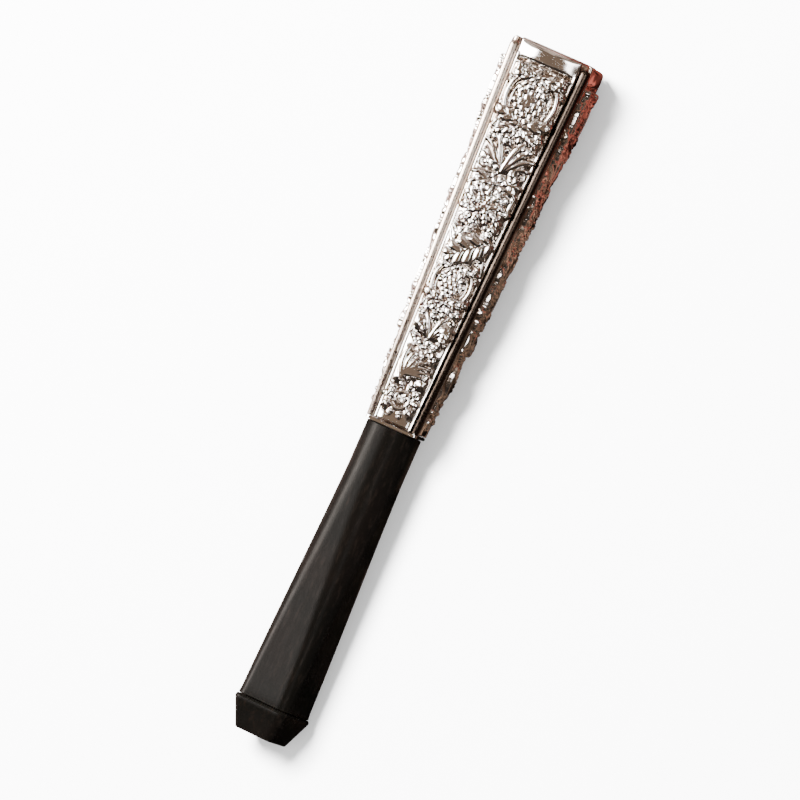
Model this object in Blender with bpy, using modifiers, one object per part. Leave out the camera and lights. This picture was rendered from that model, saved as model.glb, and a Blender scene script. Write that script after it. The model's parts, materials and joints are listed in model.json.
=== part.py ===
"""A magician's torch wand: a chromed four-sided head with embossed panels on a black handle.

It is modelled standing on its pommel, with its axis on local +Z and the main panel facing local -Y.
An empty then lays it on the ground along +X, main panel up, as it rests on the mouth and the pommel.
"""

from math import atan2, cos, pi, radians, sin

import bmesh
import bpy
from mathutils import Euler, Matrix, Vector

MM = 0.001
GAP = 0.3 * MM

# Heights above the flat end of the pommel
LENGTH = 305.0 * MM
LIP_HEIGHT = 12.2 * MM
POMMEL_TOP = 13.5 * MM
HANDLE_BOTTOM = POMMEL_TOP + GAP
HANDLE_TOP = 137.0 * MM
PLATE_BOTTOM = HANDLE_TOP + GAP
PLATE_TOP = PLATE_BOTTOM + 1.2 * MM
HEAD_BOTTOM = PLATE_TOP + GAP
PANEL_TOP = LENGTH - 0.4 * MM
COLUMN_TOP = 302.6 * MM

# Head: four leaning columns with a panel between each pair
COLUMN_OFFSET = (10.0 * MM, 15.95 * MM)
COLUMN_RADIUS = (1.6 * MM, 2.2 * MM)
PANEL_INSET = 0.6 * MM
PANEL_THICKNESS = 0.8 * MM
GROOVE_DEPTH = 1.0 * MM
GROOVE_WIDTH = (0.5 * MM, 0.8 * MM)
GROUND_RISE = 0.3 * MM
GROUND_SLOPE = 0.3 * MM
FIELD_RISE = 3.6 * MM
FIELD_MARGIN = 0.9 * MM
FIELD_SLOPE = 1.2 * MM
FIELD_BOTTOM = HEAD_BOTTOM + 1.5 * MM
BAND_HEIGHT = 8.0 * MM
BAND_RISE = 2.6 * MM
BAND_BEVEL = 1.6 * MM
BAND_BOTTOM = PANEL_TOP - BAND_HEIGHT
FIELD_TOP = BAND_BOTTOM - 1.0 * MM
PLATE_MARGIN = 0.1 * MM

# Load cup inside the head
CUP_BOTTOM = 149.0 * MM
CUP_TOP = 300.7 * MM
CUP_WALL = 0.9 * MM
CUP_FLOOR = 1.2 * MM
CUP_CORNER = 8.0 * MM
PAD_THICKNESS = 1.5 * MM
PAD_GAP = 0.45 * MM
RING_WALL = 2.2 * MM

# Handle: round at the top, a rounded square at the bottom
HANDLE_TOP_HALF = 11.8 * MM
HANDLE_TOP_CORNER = 11.6 * MM
HANDLE_LOW_HALF = 12.5 * MM
HANDLE_LOW_CORNER = 4.8 * MM
HANDLE_FOOT_HALF = 12.75 * MM
HANDLE_FLARE = 2.5 * MM
EDGE_EASE = 0.3 * MM
LIP_HALF = 13.0 * MM
LIP_CORNER = 3.6 * MM
POMMEL_END_HALF = 8.8 * MM
POMMEL_END_CORNER = 2.5 * MM
POMMEL_TWIST = radians(-17.0)
MORPH_START = 0.16
MORPH_STEPS = 12
HANDLE_BORE = 7.0 * MM

# Threaded joints
HEAD_STUD_RADIUS = 4.0 * MM
HEAD_STUD_BOTTOM = 124.6 * MM
HEAD_STUD_TOP = 146.4 * MM
POMMEL_STUD_RADIUS = 5.0 * MM
POMMEL_STUD_BOTTOM = 6.8 * MM
POMMEL_STUD_TOP = 23.6 * MM
POMMEL_STUD_FOOT = 5.3 * MM
BUSHING_RADIUS = 6.7 * MM
FLANGE_RADIUS = 9.2 * MM
FLANGE_THICKNESS = 1.6 * MM
BUSHING_LENGTH = 15.0 * MM
WASHER_THICKNESS = 0.8 * MM
WASHER_RADIUS = 7.0 * MM
GASKET_RADIUS = 8.4 * MM
NUT_ACROSS_FLATS = 13.0 * MM
NUT_HEIGHT = 4.5 * MM
CHAMFER = 0.6 * MM

# Countersunk screws that hold the base plate to the columns
SCREW_HEAD_RADIUS = 1.3 * MM
SCREW_HEAD_HEIGHT = 0.8 * MM
SCREW_HEAD_SINK = 0.1 * MM
SCREW_RADIUS = 0.7 * MM
SCREW_LENGTH = 6.5 * MM
SCREW_SLOT = (0.35 * MM, 0.3 * MM)
COUNTERSINK_GAP = 0.4 * MM
COLUMN_BORE_DEPTH = 6.5 * MM

# Mesh fineness
CORNER_STEPS = 8
TURN_STEPS = 32
SMALL_TURN_STEPS = 16
DOME_STEPS = 5
MERGE = 0.00001


def clear_scene():
    for thing in list(bpy.data.objects):
        bpy.data.objects.remove(thing, do_unlink=True)


def new_collection(name):
    made = bpy.data.collections.new(name)
    bpy.context.scene.collection.children.link(made)
    return made


def new_material(name, colour, roughness, metallic):
    made = bpy.data.materials.new(name)
    made.use_nodes = True
    shader = made.node_tree.nodes["Principled BSDF"]
    shader.inputs["Base Color"].default_value = (*colour, 1.0)
    shader.inputs["Roughness"].default_value = roughness
    shader.inputs["Metallic"].default_value = metallic
    made.diffuse_color = (*colour, 1.0)
    return made


def lerp(ends, share):
    return ends[0] + (ends[1] - ends[0]) * share


def head_share(height):
    return (height - HEAD_BOTTOM) / (LENGTH - HEAD_BOTTOM)


def column_offset(height):
    return lerp(COLUMN_OFFSET, head_share(height))


def column_radius(height):
    return lerp(COLUMN_RADIUS, head_share(height))


def panel_plane(height):
    """Distance from the axis to a panel's ground, a little inside the columns' outer sides."""
    return column_offset(height) + column_radius(height) - PANEL_INSET


def panel_back(height):
    return panel_plane(height) - GROOVE_DEPTH - PANEL_THICKNESS


def panel_edge(height):
    """Half width of a panel out to its columns."""
    return column_offset(height) - column_radius(height) - GAP


def fillet_edge(height):
    return panel_edge(height) - lerp(GROOVE_WIDTH, head_share(height))


def cup_half(height):
    return panel_back(height) - GAP


def place(thing, collection, material, parent):
    """Files an object in its collection, with its material, under the empty that carries it."""
    collection.objects.link(thing)
    if material:
        thing.data.materials.append(material)
    if parent:
        thing.parent = parent
        thing.matrix_parent_inverse = Matrix.Translation(-parent.location)
    return thing


def rounded_square(half, corner, turn=0.0):
    """Outline of a square with round corners, turned about the axis. A corner near half makes a circle."""
    outline = []
    for quarter in range(4):
        spin = quarter * pi / 2 + turn
        centre = Matrix.Rotation(spin, 2) @ Vector((half - corner, half - corner))
        for step in range(CORNER_STEPS + 1):
            angle = spin + step * pi / 2 / CORNER_STEPS
            outline.append(centre + corner * Vector((cos(angle), sin(angle))))
    return outline


def lofted(name, rings, collection, material=None, parent=None, joined=False):
    """A body through rings of (height, outline). A joined loft runs from its last ring back to its first."""
    shape = bmesh.new()
    loops = [[shape.verts.new((*point, height)) for point in outline] for height, outline in rings]
    pairs = list(zip(loops, loops[1:]))
    if joined:
        pairs.append((loops[-1], loops[0]))
    else:
        shape.faces.new(loops[0])
        shape.faces.new(loops[-1])
    for low, high in pairs:
        for index in range(len(low)):
            following = (index + 1) % len(low)
            shape.faces.new((low[index], low[following], high[following], high[index]))
    bmesh.ops.recalc_face_normals(shape, faces=shape.faces)
    mesh = bpy.data.meshes.new(name)
    shape.to_mesh(mesh)
    shape.free()
    mesh.shade_smooth()
    mesh.set_sharp_from_angle(angle=radians(30))
    return place(bpy.data.objects.new(name, mesh), collection, material, parent)


def turned(name, profile, collection, material=None, parent=None, ring=False, steps=TURN_STEPS):
    """A body turned about the axis from (radius, height) points that run down its outer side."""
    mesh = bpy.data.meshes.new(name)
    edges = [(index, index + 1) for index in range(len(profile) - 1)]
    if ring:
        edges.append((len(profile) - 1, 0))
    mesh.from_pydata([(radius, 0.0, height) for radius, height in profile], edges, [])
    body = place(bpy.data.objects.new(name, mesh), collection, material, parent)
    screw = body.modifiers.new("turn", "SCREW")
    screw.axis = "Z"
    screw.angle = 2 * pi
    screw.steps = steps
    screw.render_steps = steps
    screw.use_merge_vertices = True
    screw.merge_threshold = MERGE
    screw.use_smooth_shade = False
    return body


def ring_profile(inner, outer, bottom, top):
    return [(outer, top), (outer, bottom), (inner, bottom), (inner, top)]


def rod_profile(radius, bottom, top, chamfer=0.0):
    if not chamfer:
        return [(0.0, top), (radius, top), (radius, bottom), (0.0, bottom)]
    slim = radius - chamfer
    return [
        (0.0, top),
        (slim, top),
        (radius, top - chamfer),
        (radius, bottom + chamfer),
        (slim, bottom),
        (0.0, bottom),
    ]


def combine(body, other, operation):
    step = body.modifiers.new(operation.lower(), "BOOLEAN")
    step.operation = operation
    step.solver = "EXACT"
    step.object = other


def as_cutter(thing):
    thing.hide_render = True
    thing.display_type = "WIRE"
    return thing


def tapered_block(name, bottom, top, half_widths, inner, outer, collection, slope=0.0):
    """A block that faces -Y and follows the head's taper.

    half_widths, inner and outer are functions of height. slope draws its face in from its sides.
    """
    shape = bmesh.new()
    bmesh.ops.create_cube(shape, size=2.0)
    for vertex in shape.verts:
        proud = vertex.co.y < 0
        height = top if vertex.co.z > 0 else bottom
        side = 1 if vertex.co.x > 0 else -1
        pull = slope if proud else 0.0
        depth = outer(height) if proud else inner(height)
        end_pull = pull if vertex.co.z < 0 else -pull
        vertex.co = (side * (half_widths(height) - pull), -depth, height + end_pull)
    mesh = bpy.data.meshes.new(name)
    shape.to_mesh(mesh)
    shape.free()
    return place(bpy.data.objects.new(name, mesh), collection, None, None)


def make_panel(name, turn, carrier, collection, cutters, chrome):
    """One embossed side of the head: ground, two edge fillets, the raised ornament field and the top band."""

    def sunk(height):
        return panel_plane(height) - GROOVE_DEPTH

    def buried(height):
        return sunk(height) - PANEL_THICKNESS / 2

    def ground(height):
        return panel_plane(height) + GROUND_RISE

    def field(height):
        return panel_plane(height) + FIELD_RISE

    def band_face(height):
        return panel_plane(height) + BAND_RISE

    def field_edge(height):
        return fillet_edge(height) - FIELD_MARGIN

    panel = tapered_block(name, HEAD_BOTTOM, PANEL_TOP, panel_edge, panel_back, sunk, collection)
    panel.data.materials.append(chrome)
    raised = tapered_block(
        name + "_ground", HEAD_BOTTOM, PANEL_TOP, fillet_edge, buried, ground, cutters, GROUND_SLOPE
    )
    ornament = tapered_block(
        name + "_field", FIELD_BOTTOM, FIELD_TOP, field_edge, buried, field, cutters, FIELD_SLOPE
    )
    band = tapered_block(
        name + "_band", BAND_BOTTOM, PANEL_TOP, fillet_edge, buried, band_face, cutters
    )
    rounding = band.modifiers.new("rounding", "BEVEL")
    rounding.width = BAND_BEVEL
    rounding.segments = 3
    rounding.limit_method = "ANGLE"
    for step in (raised, ornament, band):
        combine(panel, as_cutter(step), "UNION")
    for piece in (panel, raised, ornament, band):
        piece.parent = carrier
        piece.matrix_parent_inverse = Matrix.Translation(-carrier.location)
        piece.rotation_euler = Euler((0, 0, turn))
    return panel


def leaning(side_x, side_y):
    """Where a corner column stands and how it leans: its own +Z runs up its centre line."""
    low = Vector((side_x, side_y, 0)) * column_offset(HEAD_BOTTOM)
    high = Vector((side_x, side_y, 0)) * column_offset(COLUMN_TOP)
    low.z = HEAD_BOTTOM
    high.z = COLUMN_TOP
    lean = (high - low).to_track_quat("Z", "Y").to_matrix().to_4x4()
    return Matrix.Translation(low) @ lean, (high - low).length


def dome_profile(radius, top):
    """A quarter circle down from the axis at the top."""
    return [
        (radius * sin(step * pi / 2 / DOME_STEPS), top - radius + radius * cos(step * pi / 2 / DOME_STEPS))
        for step in range(DOME_STEPS + 1)
    ]


def make_column(name, side_x, side_y, carrier, collection, chrome):
    """A round corner column with a domed top and a screw hole in its foot."""
    stand, length = leaning(side_x, side_y)
    low_radius, high_radius = COLUMN_RADIUS
    bore = SCREW_RADIUS + GAP
    profile = dome_profile(high_radius, length) + [
        (low_radius, 0.0),
        (bore, 0.0),
        (bore, COLUMN_BORE_DEPTH),
        (0.0, COLUMN_BORE_DEPTH),
    ]
    column = turned(name, profile, collection, chrome, carrier, steps=SMALL_TURN_STEPS)
    column.matrix_basis = stand
    return column


def make_base_screw(name, side_x, side_y, carrier, collection, cutters, steel):
    """A slotted countersunk screw that runs through the base plate into a column's foot."""
    stand, _ = leaning(side_x, side_y)
    head_low = PLATE_BOTTOM - HEAD_BOTTOM + SCREW_HEAD_SINK
    head_high = head_low + SCREW_HEAD_HEIGHT
    profile = [
        (0.0, head_low + SCREW_LENGTH),
        (SCREW_RADIUS, head_low + SCREW_LENGTH),
        (SCREW_RADIUS, head_high),
        (SCREW_HEAD_RADIUS, head_low),
        (0.0, head_low),
    ]
    screw = turned(name, profile, collection, steel, carrier, steps=SMALL_TURN_STEPS)
    screw.matrix_basis = stand
    width, depth = SCREW_SLOT
    shape = bmesh.new()
    bmesh.ops.create_cube(shape, size=1.0)
    bmesh.ops.scale(shape, vec=(4 * SCREW_HEAD_RADIUS, width, 2 * depth), verts=shape.verts)
    bmesh.ops.translate(shape, vec=(0, 0, head_low), verts=shape.verts)
    mesh = bpy.data.meshes.new(name + "_slot")
    shape.to_mesh(mesh)
    shape.free()
    slot = place(bpy.data.objects.new(name + "_slot", mesh), cutters, None, carrier)
    slot.matrix_basis = stand
    combine(screw, as_cutter(slot), "DIFFERENCE")
    return screw


def make_base_plate(carrier, collection, cutters, chrome, corners):
    """The thin square plate under the head, with its centre hole and four countersinks."""
    half = panel_plane(HEAD_BOTTOM) + PANEL_INSET - PLATE_MARGIN
    outline = rounded_square(half, COLUMN_RADIUS[0])
    plate = lofted(
        "base_plate", [(PLATE_BOTTOM, outline), (PLATE_TOP, outline)], collection, chrome, carrier
    )
    bore = turned(
        "base_plate_bore",
        rod_profile(HEAD_STUD_RADIUS + GAP, PLATE_BOTTOM - MM, PLATE_TOP + MM),
        cutters,
        parent=carrier,
    )
    combine(plate, as_cutter(bore), "DIFFERENCE")
    sink_low = PLATE_BOTTOM - HEAD_BOTTOM
    sink_high = sink_low + SCREW_HEAD_HEIGHT + SCREW_HEAD_SINK
    wide = SCREW_HEAD_RADIUS + COUNTERSINK_GAP
    slim = SCREW_RADIUS + COUNTERSINK_GAP
    below = sink_low - MM
    profile = [(0.0, MM), (slim, MM), (slim, sink_high), (wide, sink_low), (wide, below), (0.0, below)]
    for number, corner in enumerate(corners, start=1):
        stand, _ = leaning(*corner)
        sink = turned(
            f"base_plate_sink_{number}", profile, cutters, parent=carrier, steps=SMALL_TURN_STEPS
        )
        sink.matrix_basis = stand
        combine(plate, as_cutter(sink), "DIFFERENCE")


def make_load_cup(carrier, collection, black, felt):
    """The tapered square cup that holds the load, open at the mouth, with a pad on its floor."""
    outer_low = rounded_square(cup_half(CUP_BOTTOM), CUP_CORNER)
    outer_high = rounded_square(cup_half(CUP_TOP), CUP_CORNER)
    inner_high = rounded_square(cup_half(CUP_TOP) - CUP_WALL, CUP_CORNER - CUP_WALL)
    floor = CUP_BOTTOM + CUP_FLOOR
    inner_low = rounded_square(cup_half(floor) - CUP_WALL, CUP_CORNER - CUP_WALL)
    rings = [(CUP_BOTTOM, outer_low), (CUP_TOP, outer_high), (CUP_TOP, inner_high), (floor, inner_low)]
    lofted("load_cup", rings, collection, black, carrier)
    pad_low = floor + GAP
    inset = CUP_WALL + PAD_GAP
    pad_outline = rounded_square(cup_half(pad_low) - inset, CUP_CORNER - inset)
    pad_rings = [(pad_low, pad_outline), (pad_low + PAD_THICKNESS, pad_outline)]
    lofted("cup_pad", pad_rings, collection, felt, carrier)


def make_mouth_ring(carrier, collection, chrome):
    """The polished frame that closes the gap between the cup's rim and the panels."""
    low = CUP_TOP + GAP
    outer = rounded_square(cup_half(low), CUP_CORNER)
    inner = rounded_square(cup_half(low) - RING_WALL, CUP_CORNER - RING_WALL)
    rings = [(low, outer), (LENGTH, outer), (LENGTH, inner), (low, inner)]
    lofted("mouth_ring", rings, collection, chrome, carrier, joined=True)


def make_nut(carrier, collection, cutters, steel):
    low = HEAD_BOTTOM + WASHER_THICKNESS + GAP
    shape = bmesh.new()
    bmesh.ops.create_cone(
        shape,
        cap_ends=True,
        segments=6,
        radius1=NUT_ACROSS_FLATS / 2 / cos(pi / 6),
        radius2=NUT_ACROSS_FLATS / 2 / cos(pi / 6),
        depth=NUT_HEIGHT,
    )
    bmesh.ops.translate(shape, vec=(0, 0, low + NUT_HEIGHT / 2), verts=shape.verts)
    mesh = bpy.data.meshes.new("stud_nut")
    shape.to_mesh(mesh)
    shape.free()
    nut = place(bpy.data.objects.new("stud_nut", mesh), collection, steel, carrier)
    bore = turned(
        "stud_nut_bore",
        rod_profile(HEAD_STUD_RADIUS + GAP, low - MM, low + NUT_HEIGHT + MM),
        cutters,
        parent=carrier,
    )
    combine(nut, as_cutter(bore), "DIFFERENCE")


def make_head(carrier, collection, cutters, finish):
    """Everything that unscrews with the head."""
    sides = ("front", "right", "back", "left")
    for index, side in enumerate(sides):
        make_panel(f"head_panel_{side}", index * pi / 2, carrier, collection, cutters, finish["chrome"])
    corners = ((-1, -1), (1, -1), (1, 1), (-1, 1))
    for number, corner in enumerate(corners, start=1):
        make_column(f"corner_column_{number}", *corner, carrier, collection, finish["chrome"])
        make_base_screw(
            f"base_screw_{number}", *corner, carrier, collection, cutters, finish["steel"]
        )
    make_base_plate(carrier, collection, cutters, finish["chrome"], corners)
    make_load_cup(carrier, collection, finish["cup_black"], finish["felt"])
    make_mouth_ring(carrier, collection, finish["chrome"])
    stud = rod_profile(HEAD_STUD_RADIUS, HEAD_STUD_BOTTOM, HEAD_STUD_TOP, CHAMFER)
    turned("head_stud", stud, collection, finish["steel"], carrier)
    bore = HEAD_STUD_RADIUS + GAP
    washer = ring_profile(bore, WASHER_RADIUS, HEAD_BOTTOM, HEAD_BOTTOM + WASHER_THICKNESS)
    turned("stud_washer", washer, collection, finish["steel"], carrier, ring=True)
    make_nut(carrier, collection, cutters, finish["steel"])


def handle_outline(share, shrink=0.0):
    """The handle's outside at a share of its length from the top: round, then ever squarer."""
    blend = max(0.0, (share - MORPH_START) / (1 - MORPH_START))
    eased = blend * blend * (3 - 2 * blend)
    half = lerp((HANDLE_TOP_HALF, HANDLE_LOW_HALF), blend) - shrink
    corner = lerp((HANDLE_TOP_CORNER, HANDLE_LOW_CORNER), 0.5 * (blend + eased)) - shrink
    return rounded_square(half, corner, POMMEL_TWIST)


def make_handle(carrier, collection, cutters, lacquer):
    """The hollow grip, bored through, with a recess at each end for a bushing's flange."""
    foot = HANDLE_BOTTOM + HANDLE_FLARE
    rings = [
        (HANDLE_BOTTOM, rounded_square(HANDLE_FOOT_HALF - EDGE_EASE, LIP_CORNER, POMMEL_TWIST)),
        (HANDLE_BOTTOM + EDGE_EASE, rounded_square(HANDLE_FOOT_HALF, LIP_CORNER, POMMEL_TWIST)),
    ]
    for step in range(MORPH_STEPS, -1, -1):
        share = step / MORPH_STEPS
        rings.append((lerp((HANDLE_TOP, foot), share), handle_outline(share)))
    rings[-1] = (HANDLE_TOP - EDGE_EASE, rings[-1][1])
    rings.append((HANDLE_TOP, handle_outline(0.0, EDGE_EASE)))
    grip = lofted("handle_grip", rings, collection, lacquer, carrier)
    bore = rod_profile(HANDLE_BORE, HANDLE_BOTTOM - MM, HANDLE_TOP + MM)
    recess = FLANGE_RADIUS + GAP
    low_recess = rod_profile(recess, HANDLE_BOTTOM - MM, HANDLE_BOTTOM + FLANGE_THICKNESS + GAP)
    high_recess = rod_profile(recess, flange_bottom() - GAP, HANDLE_TOP + MM)
    for name, profile in (("bore", bore), ("low_recess", low_recess), ("high_recess", high_recess)):
        cutter = turned(f"handle_{name}", profile, cutters, parent=carrier)
        combine(grip, as_cutter(cutter), "DIFFERENCE")


def flange_bottom():
    """Underside of the top bushing's flange, sunk so that the joint washer lies flush in the handle."""
    return HANDLE_TOP - GAP - WASHER_THICKNESS - GAP - FLANGE_THICKNESS


def make_bushings(carrier, collection, brass):
    """Flanged threaded bushings, one in each end of the handle."""
    flange_top = flange_bottom() + FLANGE_THICKNESS
    bore = HEAD_STUD_RADIUS + GAP
    top = [
        (FLANGE_RADIUS, flange_top),
        (FLANGE_RADIUS, flange_bottom()),
        (BUSHING_RADIUS, flange_bottom()),
        (BUSHING_RADIUS, flange_top - BUSHING_LENGTH),
        (bore, flange_top - BUSHING_LENGTH),
        (bore, flange_top),
    ]
    turned("top_bushing", top, collection, brass, carrier, ring=True)
    bore = POMMEL_STUD_RADIUS + GAP
    bottom = [
        (BUSHING_RADIUS, HANDLE_BOTTOM + BUSHING_LENGTH),
        (BUSHING_RADIUS, HANDLE_BOTTOM + FLANGE_THICKNESS),
        (FLANGE_RADIUS, HANDLE_BOTTOM + FLANGE_THICKNESS),
        (FLANGE_RADIUS, HANDLE_BOTTOM),
        (bore, HANDLE_BOTTOM),
        (bore, HANDLE_BOTTOM + BUSHING_LENGTH),
    ]
    turned("bottom_bushing", bottom, collection, brass, carrier, ring=True)


def make_joint_washer(carrier, collection, fibre):
    low = flange_bottom() + FLANGE_THICKNESS + GAP
    washer = ring_profile(HEAD_STUD_RADIUS + GAP, FLANGE_RADIUS, low, low + WASHER_THICKNESS)
    turned("joint_washer", washer, collection, fibre, carrier, ring=True)


def make_pommel(carrier, collection, cutters, lacquer, steel):
    """The square end cap, drawn in to a flat end, with its threaded stud."""
    rings = [
        (0.0, rounded_square(POMMEL_END_HALF - EDGE_EASE, POMMEL_END_CORNER, POMMEL_TWIST)),
        (EDGE_EASE, rounded_square(POMMEL_END_HALF, POMMEL_END_CORNER, POMMEL_TWIST)),
        (LIP_HEIGHT, rounded_square(LIP_HALF, LIP_CORNER, POMMEL_TWIST)),
        (POMMEL_TOP - EDGE_EASE, rounded_square(LIP_HALF, LIP_CORNER, POMMEL_TWIST)),
        (POMMEL_TOP, rounded_square(LIP_HALF - EDGE_EASE, LIP_CORNER, POMMEL_TWIST)),
    ]
    cap = lofted("pommel", rings, collection, lacquer, carrier)
    foot = POMMEL_STUD_FOOT + GAP
    seat = GASKET_RADIUS + GAP
    seat_low = POMMEL_TOP - WASHER_THICKNESS - GAP
    profile = [
        (0.0, POMMEL_TOP + MM),
        (seat, POMMEL_TOP + MM),
        (seat, seat_low),
        (foot, seat_low),
        (foot, POMMEL_STUD_BOTTOM - GAP),
        (0.0, POMMEL_STUD_BOTTOM - GAP),
    ]
    socket = turned("pommel_socket", profile, cutters, parent=carrier)
    combine(cap, as_cutter(socket), "DIFFERENCE")
    stud = [
        (0.0, POMMEL_STUD_TOP),
        (POMMEL_STUD_RADIUS - CHAMFER, POMMEL_STUD_TOP),
        (POMMEL_STUD_RADIUS, POMMEL_STUD_TOP - CHAMFER),
        (POMMEL_STUD_RADIUS, seat_low),
        (POMMEL_STUD_FOOT, seat_low - CHAMFER / 2),
        (POMMEL_STUD_FOOT, POMMEL_STUD_BOTTOM),
        (0.0, POMMEL_STUD_BOTTOM),
    ]
    turned("pommel_stud", stud, collection, steel, carrier)


def make_gasket(carrier, collection, rubber):
    top = POMMEL_TOP
    gasket = ring_profile(POMMEL_STUD_RADIUS + GAP, GASKET_RADIUS, top - WASHER_THICKNESS, top)
    turned("pommel_gasket", gasket, collection, rubber, carrier, ring=True)


def new_carrier(name, height, parent, collection):
    """An empty on the wand's axis that carries the pieces which move together."""
    empty = bpy.data.objects.new(name, None)
    empty.location = (0, 0, height)
    collection.objects.link(empty)
    if parent:
        empty.parent = parent
    return empty


def lay_down(wand):
    """Lays the wand along +X, main panel up, resting on the ornament near its mouth and on the pommel."""
    lip_reach = (LIP_HALF - LIP_CORNER) * (cos(POMMEL_TWIST) + abs(sin(POMMEL_TWIST))) + LIP_CORNER
    rest_height = FIELD_TOP - FIELD_SLOPE
    rest_reach = panel_plane(rest_height) + FIELD_RISE
    tilt = atan2(rest_reach - lip_reach, rest_height - POMMEL_TOP + EDGE_EASE)
    laid = Matrix(((0, 0, 1), (-1, 0, 0), (0, -1, 0))).to_4x4()
    wand.matrix_world = Matrix.Rotation(-tilt, 4, "Y") @ laid
    bpy.context.view_layer.update()


def centre_on_ground(wand, collection):
    """Shifts the wand so that it stands on z = 0 with the origin under the middle of its box."""
    graph = bpy.context.evaluated_depsgraph_get()
    points = []
    for thing in collection.objects:
        if thing.type == "MESH":
            mesh = thing.evaluated_get(graph).to_mesh()
            points += [thing.matrix_world @ vertex.co for vertex in mesh.vertices]
            thing.evaluated_get(graph).to_mesh_clear()
    low = Vector([min(point[axis] for point in points) for axis in range(3)])
    high = Vector([max(point[axis] for point in points) for axis in range(3)])
    middle = (low + high) / 2
    wand.location -= Vector((middle.x, middle.y, low.z))
    bpy.context.view_layer.update()


def main():
    clear_scene()
    parts = new_collection("torch_wand")
    cutters = new_collection("cutters")
    finish = {
        "chrome": new_material("chrome", (0.82, 0.79, 0.77), 0.12, 1.0),
        "lacquer": new_material("black_lacquer", (0.016, 0.014, 0.013), 0.38, 0.0),
        "cup_black": new_material("cup_black", (0.02, 0.02, 0.02), 0.7, 0.0),
        "felt": new_material("black_felt", (0.03, 0.03, 0.03), 0.95, 0.0),
        "steel": new_material("zinc_steel", (0.55, 0.56, 0.58), 0.35, 1.0),
        "brass": new_material("brass", (0.72, 0.52, 0.24), 0.3, 1.0),
        "fibre": new_material("red_fibre", (0.32, 0.05, 0.03), 0.8, 0.0),
        "rubber": new_material("black_rubber", (0.02, 0.02, 0.02), 0.8, 0.0),
    }
    wand = new_carrier("wand_axis", 0.0, None, parts)
    head = new_carrier("head_joint", HANDLE_TOP, wand, parts)
    pommel = new_carrier("pommel_joint", POMMEL_TOP, wand, parts)
    make_handle(wand, parts, cutters, finish["lacquer"])
    make_bushings(wand, parts, finish["brass"])
    make_joint_washer(head, parts, finish["fibre"])
    make_head(head, parts, cutters, finish)
    make_pommel(pommel, parts, cutters, finish["lacquer"], finish["steel"])
    make_gasket(pommel, parts, finish["rubber"])
    lay_down(wand)
    centre_on_ground(wand, parts)


main()
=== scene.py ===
"""The looks of a magician's torch wand: cast grape-and-leaf chrome panels on a black lacquered handle."""

import json
from math import cos, exp, pi, radians, sin, tau
from random import Random

import bpy
import numpy as np
from mathutils import Matrix, Vector


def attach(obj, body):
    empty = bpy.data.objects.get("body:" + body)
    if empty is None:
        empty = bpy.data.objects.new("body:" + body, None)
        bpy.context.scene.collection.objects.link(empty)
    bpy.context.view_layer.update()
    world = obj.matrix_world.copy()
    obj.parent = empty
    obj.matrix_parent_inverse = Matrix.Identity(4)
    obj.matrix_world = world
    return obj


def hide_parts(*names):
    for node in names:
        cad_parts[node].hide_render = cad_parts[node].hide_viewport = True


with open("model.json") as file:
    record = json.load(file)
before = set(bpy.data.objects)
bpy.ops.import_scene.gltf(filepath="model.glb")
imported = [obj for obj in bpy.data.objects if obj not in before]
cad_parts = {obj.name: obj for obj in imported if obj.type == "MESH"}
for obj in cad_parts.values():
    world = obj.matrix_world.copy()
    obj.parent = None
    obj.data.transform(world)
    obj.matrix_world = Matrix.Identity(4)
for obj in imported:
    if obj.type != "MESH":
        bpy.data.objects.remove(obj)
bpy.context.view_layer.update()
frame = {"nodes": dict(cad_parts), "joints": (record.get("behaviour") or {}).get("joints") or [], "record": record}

# Millimetres, standing on the pommel: +Z runs up the wand and the main panel faces -Y.
LENGTH = 305.0
MM = 0.001
SIDES = ("front", "right", "back", "left")

# The handle: its half width and corner radius go from its round top to its squarer foot
HANDLE_TOP = 137.0
HANDLE_FOOT = 13.8
HANDLE_HALF = (11.8, 12.5)
HANDLE_CORNER = (11.6, 4.8)
HANDLE_ROUND_SHARE = 0.16
FLARE_HEIGHT = 2.5
FLARE_REACH = 0.25

# The pommel: its half width and corner radius go from its flat end to its lip
POMMEL_TOP = 13.5
LIP_HEIGHT = 12.2
POMMEL_HALF = (8.8, 13.0)
POMMEL_CORNER = (2.5, 3.6)
TWIST = radians(-17.0)

# The head: columns at its corners, panels between them, and a frame round its mouth
HEAD_BOTTOM = 138.8
PANEL_TOP = 304.6
COLUMN_TOP = 302.6
COLUMN_OFFSET = (10.0, 15.95)
COLUMN_RADIUS = (1.6, 2.2)
COLUMN_GAP = 0.3
PANEL_INSET = 0.6
PANEL_BACK = -1.8
FILLET_INSET = (0.5, 0.8)
RING_BOTTOM = 301.0
RING_WALL = 2.2
RING_CORNER = 8.0
RING_EASE = 0.9

# The embossing on a panel, measured up from the panel's plane
BAND_HEIGHT = 8.2
BAND_RISE = 2.6
FIELD_TOP = PANEL_TOP - BAND_HEIGHT - 1.0
FIELD_MARGIN = 1.1
RELIEF_PEAK = 2.6
RELIEF_GRID = (108, 780)
BUNCHES = (276.5, 234.0, 196.5, 161.0)
# Swellings beside the panel's edges: height, rise and reach
LUMPS = (
    (291.0, 2.0, 3.0), (280.0, 0.8, 2.6), (268.0, 1.8, 4.2), (256.0, 0.9, 2.6), (245.0, 1.9, 4.4),
    (231.0, 1.4, 3.0), (219.0, 0.9, 3.0), (207.0, 1.0, 2.4), (195.0, 1.0, 2.6), (182.0, 2.5, 4.2),
    (169.0, 0.8, 2.4), (158.0, 1.4, 2.6), (146.0, 0.9, 2.4),
)

# The studs: bottom, top and radius
HEAD_STUD = (124.6, 146.4, 4.0)
POMMEL_STUD = (6.8, 23.6, 5.0)
THREAD_PITCH = 2.0
THREAD_DEPTH = 0.75

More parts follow.
